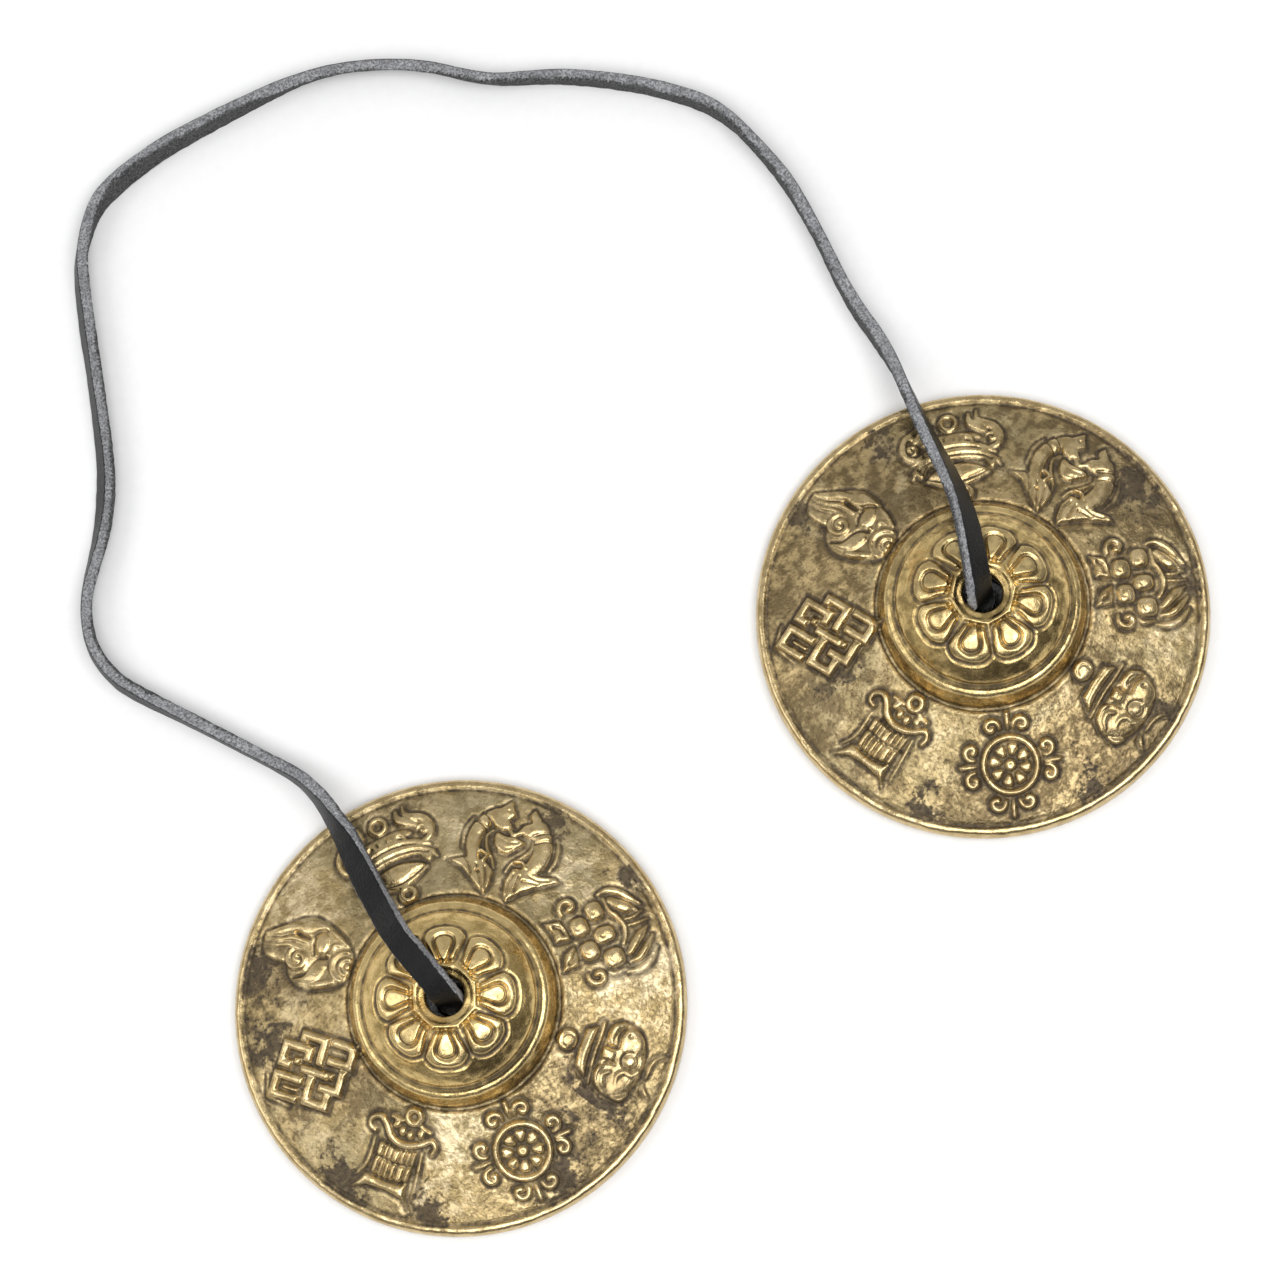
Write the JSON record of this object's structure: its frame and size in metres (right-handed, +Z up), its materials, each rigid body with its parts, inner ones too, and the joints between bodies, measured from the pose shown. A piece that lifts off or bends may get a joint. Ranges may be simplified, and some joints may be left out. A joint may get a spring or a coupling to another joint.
{
  "type": "tingsha",
  "caption": "Small cast hand cymbals joined by a flat leather strap that is knotted inside each bell and lies in a loose loop behind them.",
  "frame": {"origin": "on the floor, midway between the hubs of the two cymbals, which lie on their rims", "axes": "+X from the left cymbal's hub to the right one's, +Y towards the strap's loop, +Z up along the hubs"},
  "size_m": [0.1584, 0.1652, 0.0201],
  "materials": {
    "cast_brass": "cast and hand polished, with dark patina in the hollows and round the carving",
    "black_leather": "smooth black grain side, grey napped back and pale cut edges"
  },
  "bodies": {
    "strap": {"strap": "black_leather", "strap_bend_left": "black_leather", "strap_bend_right": "black_leather"},
    "left_end": {"strap_neck_left": "black_leather", "knot_left": "black_leather"},
    "left_cymbal": {"cymbal_left": "cast_brass"},
    "right_end": {"strap_neck_right": "black_leather", "knot_right": "black_leather"},
    "right_cymbal": {"cymbal_right": "cast_brass"}
  },
  "joints": [
    {"name": "tilt_left", "type": "hinge", "parent": "strap", "child": "left_end", "pos_m": [-0.0465, -0.0006, 0.01899], "axis": [-1, 0, 0], "range_deg": [0, 90], "deforming": ["strap_bend_left"]},
    {"name": "spin_left", "type": "hinge", "parent": "left_end", "child": "left_cymbal", "pos_m": [-0.0467, 0, 0], "axis": [0, 0, 1], "continuous": true},
    {"name": "tilt_right", "type": "hinge", "parent": "strap", "child": "right_end", "pos_m": [0.0461, -0.00026, 0.01899], "axis": [-0.8829, 0.4695, 0], "range_deg": [0, 90], "deforming": ["strap_bend_right"]},
    {"name": "spin_right", "type": "hinge", "parent": "right_end", "child": "right_cymbal", "pos_m": [0.0467, 0, 0], "axis": [0, 0, 1], "continuous": true}
  ]
}
